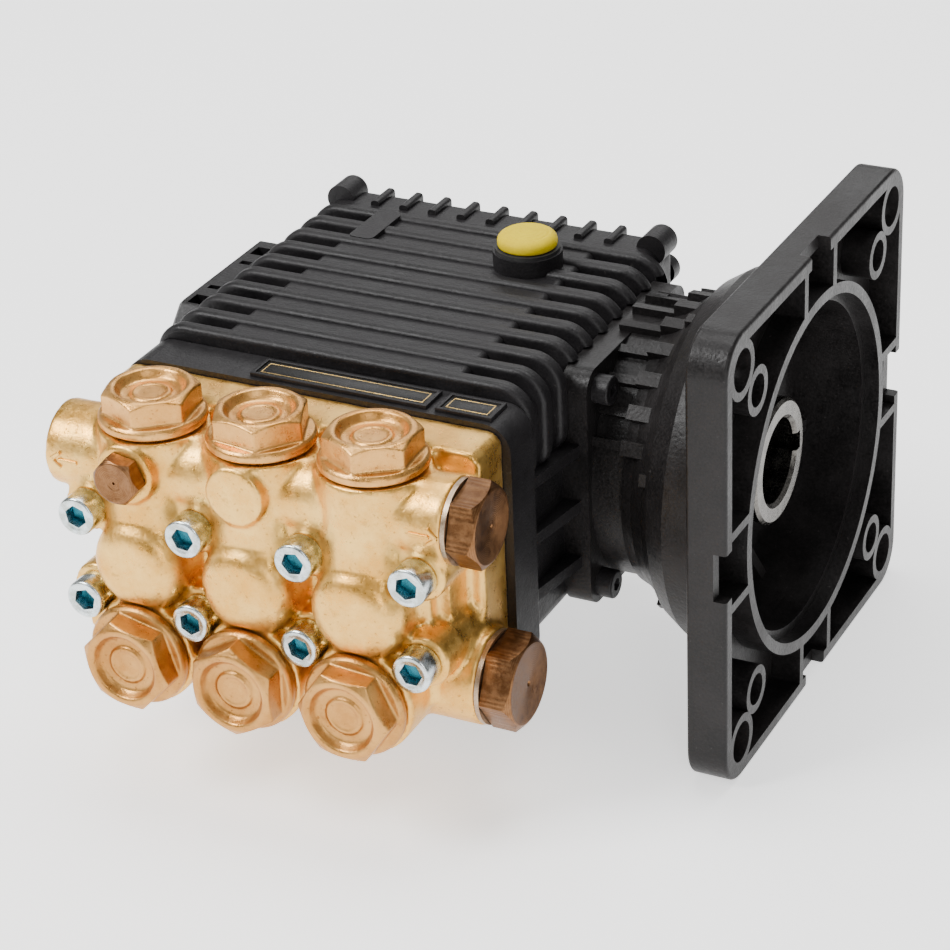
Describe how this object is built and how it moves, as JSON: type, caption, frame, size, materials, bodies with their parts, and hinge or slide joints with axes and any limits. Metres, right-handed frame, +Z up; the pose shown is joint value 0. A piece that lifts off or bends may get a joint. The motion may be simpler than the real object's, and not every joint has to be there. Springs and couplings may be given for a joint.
{
  "type": "pressure washer pump",
  "caption": "Horizontal plunger pump with a brass head, a ribbed black crankcase and a hollow-shaft square motor flange.",
  "frame": {"origin": "centre of the motor flange's mating face, on the crank axis", "axes": "+X along the crank axis into the motor, the pump head faces -Y, +Z up"},
  "size_m": [0.2129, 0.23, 0.1554],
  "materials": {
    "case_black": "satin black coated casting",
    "flange_black": "satin black coated casting",
    "head_brass": "satin cast and machined",
    "cap_brass": "satin forged",
    "plug_bronze": "turned, brown",
    "screw_zinc": "zinc plated",
    "steel": "ground",
    "ball_steel": "polished",
    "cage_steel": "pressed",
    "rod_metal": "cast",
    "bush_bronze": "machined",
    "ceramic": "polished ceramic",
    "rubber_black": "matte",
    "gasket": "matte",
    "packing": "fabric reinforced",
    "valve_steel": "stainless",
    "cage_plastic": "moulded",
    "cap_yellow": "moulded",
    "sight_clear": "clear",
    "washer_metal": "plain",
    "plate_black": "printed plate, blank"
  },
  "bodies": {
    "pump_body": {"crankcase": "case_black", "rear_cover": "case_black", "side_cover": "case_black", "flange_housing": "flange_black", "rear_cover_gasket": "gasket", "cover_screws": "case_black", "flange_screws": "case_black", "shaft_seal": "rubber_black", "sight_glass": "sight_clear", "drain_plug": "screw_zinc", "bearing_outer_rings": "steel", "plunger_oil_seals": "rubber_black", "packing_retainers": "bush_bronze", "plunger_packings": "packing", "head_rings": "bush_bronze", "manifold": "head_brass", "head_screws": "screw_zinc", "valve_seats": "valve_steel", "valve_springs": "valve_steel", "valve_cages": "cage_plastic", "valve_caps": "cap_brass", "valve_cap_seals": "rubber_black", "discharge_plug": "plug_bronze", "suction_plug": "plug_bronze", "gauge_plug": "plug_bronze", "port_washers": "washer_metal", "name_plates": "plate_black"},
    "crank": {"crankshaft": "steel", "bearing_inner_rings": "steel"},
    "bearing_ball_sets": {"bearing_balls": "ball_steel", "bearing_cages": "cage_steel"},
    "oil_cap_body": {"oil_cap_seal": "rubber_black"},
    "oil_cap_knob": {"oil_cap": "cap_yellow"},
    "rod_1": {"con_rod_1": "rod_metal", "con_rod_cap_1": "rod_metal"},
    "bush_1": {"small_end_bush_1": "bush_bronze"},
    "pin_1": {"wrist_pin_1": "steel"},
    "plunger_1": {"plunger_guide_1": "steel", "plunger_sleeve_1": "ceramic", "plunger_bolt_1": "valve_steel"},
    "discharge_valve_1": {"discharge_valve_plate_1": "valve_steel"},
    "suction_valve_1": {"suction_valve_plate_1": "valve_steel"},
    "rod_2": {"con_rod_2": "rod_metal", "con_rod_cap_2": "rod_metal"},
    "bush_2": {"small_end_bush_2": "bush_bronze"},
    "pin_2": {"wrist_pin_2": "steel"},
    "plunger_2": {"plunger_guide_2": "steel", "plunger_sleeve_2": "ceramic", "plunger_bolt_2": "valve_steel"},
    "discharge_valve_2": {"discharge_valve_plate_2": "valve_steel"},
    "suction_valve_2": {"suction_valve_plate_2": "valve_steel"},
    "rod_3": {"con_rod_3": "rod_metal", "con_rod_cap_3": "rod_metal"},
    "bush_3": {"small_end_bush_3": "bush_bronze"},
    "pin_3": {"wrist_pin_3": "steel"},
    "plunger_3": {"plunger_guide_3": "steel", "plunger_sleeve_3": "ceramic", "plunger_bolt_3": "valve_steel"},
    "discharge_valve_3": {"discharge_valve_plate_3": "valve_steel"},
    "suction_valve_3": {"suction_valve_plate_3": "valve_steel"}
  },
  "joints": [
    {"name": "crank_spin", "type": "hinge", "parent": "pump_body", "child": "crank", "pos_m": [0, 0, 0], "axis": [1, 0, 0], "continuous": true},
    {"name": "ball_set_spin", "type": "hinge", "parent": "pump_body", "child": "bearing_ball_sets", "pos_m": [0, 0, 0], "axis": [1, 0, 0], "continuous": true},
    {"name": "rod_swing_1", "type": "hinge", "parent": "crank", "child": "rod_1", "pos_m": [-0.1706, 0.0035, 0], "axis": [1, 0, 0], "continuous": true},
    {"name": "bush_turn_1", "type": "hinge", "parent": "rod_1", "child": "bush_1", "pos_m": [-0.1706, -0.0465, 0], "axis": [1, 0, 0], "continuous": true},
    {"name": "pin_turn_1", "type": "hinge", "parent": "bush_1", "child": "pin_1", "pos_m": [-0.1706, -0.04825, 0], "axis": [1, 0, 0], "continuous": true},
    {"name": "plunger_stroke_1", "type": "hinge", "parent": "pin_1", "child": "plunger_1", "pos_m": [-0.1706, -0.0465, 0], "axis": [1, 0, 0], "continuous": true},
    {"name": "discharge_valve_lift_1", "type": "slide", "parent": "pump_body", "child": "discharge_valve_1", "axis": [0, 0, 1], "range_m": [0, 0.002], "stiffness_N_per_m": 400, "springref_m": -0.001, "deforming": ["valve_springs"]},
    {"name": "suction_valve_lift_1", "type": "slide", "parent": "pump_body", "child": "suction_valve_1", "axis": [0, -1, 0], "range_m": [0, 0.002], "stiffness_N_per_m": 400, "springref_m": -0.001, "deforming": ["valve_springs"]},
    {"name": "rod_swing_2", "type": "hinge", "parent": "crank", "child": "rod_2", "pos_m": [-0.1324, -0.00175, 0.00303], "axis": [1, 0, 0], "continuous": true},
    {"name": "bush_turn_2", "type": "hinge", "parent": "rod_2", "child": "bush_2", "pos_m": [-0.1324, -0.05175, 0.00303], "axis": [1, 0, 0], "continuous": true},
    {"name": "pin_turn_2", "type": "hinge", "parent": "bush_2", "child": "pin_2", "pos_m": [-0.1324, -0.05087, 0.00152], "axis": [1, 0, 0], "continuous": true},
    {"name": "plunger_stroke_2", "type": "hinge", "parent": "pin_2", "child": "plunger_2", "pos_m": [-0.1324, -0.05175, 0], "axis": [1, 0, 0], "continuous": true},
    {"name": "discharge_valve_lift_2", "type": "slide", "parent": "pump_body", "child": "discharge_valve_2", "axis": [0, 0, 1], "range_m": [0, 0.002], "stiffness_N_per_m": 400, "springref_m": -0.001, "deforming": ["valve_springs"]},
    {"name": "suction_valve_lift_2", "type": "slide", "parent": "pump_body", "child": "suction_valve_2", "axis": [0, -1, 0], "range_m": [0, 0.002], "stiffness_N_per_m": 400, "springref_m": -0.001, "deforming": ["valve_springs"]},
    {"name": "rod_swing_3", "type": "hinge", "parent": "crank", "child": "rod_3", "pos_m": [-0.0942, -0.00175, -0.00303], "axis": [1, 0, 0], "continuous": true},
    {"name": "bush_turn_3", "type": "hinge", "parent": "rod_3", "child": "bush_3", "pos_m": [-0.0942, -0.05175, -0.00303], "axis": [1, 0, 0], "continuous": true},
    {"name": "pin_turn_3", "type": "hinge", "parent": "bush_3", "child": "pin_3", "pos_m": [-0.0942, -0.05087, -0.00152], "axis": [1, 0, 0], "continuous": true},
    {"name": "plunger_stroke_3", "type": "hinge", "parent": "pin_3", "child": "plunger_3", "pos_m": [-0.0942, -0.05175, 0], "axis": [1, 0, 0], "continuous": true},
    {"name": "discharge_valve_lift_3", "type": "slide", "parent": "pump_body", "child": "discharge_valve_3", "axis": [0, 0, 1], "range_m": [0, 0.002], "stiffness_N_per_m": 400, "springref_m": -0.001, "deforming": ["valve_springs"]},
    {"name": "suction_valve_lift_3", "type": "slide", "parent": "pump_body", "child": "suction_valve_3", "axis": [0, -1, 0], "range_m": [0, 0.002], "stiffness_N_per_m": 400, "springref_m": -0.001, "deforming": ["valve_springs"]},
    {"name": "oil_cap_lift", "type": "slide", "parent": "pump_body", "child": "oil_cap_body", "axis": [0, 0, 1], "range_m": [0, 0.03]},
    {"name": "oil_cap_turn", "type": "hinge", "parent": "oil_cap_body", "child": "oil_cap_knob", "pos_m": [-0.1069, 0.0115, 0.055], "axis": [0, 0, 1], "continuous": true}
  ],
  "couplings": [
    {"joint": "ball_set_spin", "follows": "crank_spin", "ratio": 0.38},
    {"joint": "rod_swing_1", "follows": "crank_spin", "ratio": -1},
    {"joint": "bush_turn_1", "follows": "crank_spin", "ratio": 1},
    {"joint": "pin_turn_1", "follows": "crank_spin", "ratio": -2},
    {"joint": "plunger_stroke_1", "follows": "crank_spin", "ratio": 1},
    {"joint": "rod_swing_2", "follows": "crank_spin", "ratio": -1},
    {"joint": "bush_turn_2", "follows": "crank_spin", "ratio": 1},
    {"joint": "pin_turn_2", "follows": "crank_spin", "ratio": -2},
    {"joint": "plunger_stroke_2", "follows": "crank_spin", "ratio": 1},
    {"joint": "rod_swing_3", "follows": "crank_spin", "ratio": -1},
    {"joint": "bush_turn_3", "follows": "crank_spin", "ratio": 1},
    {"joint": "pin_turn_3", "follows": "crank_spin", "ratio": -2},
    {"joint": "plunger_stroke_3", "follows": "crank_spin", "ratio": 1}
  ]
}
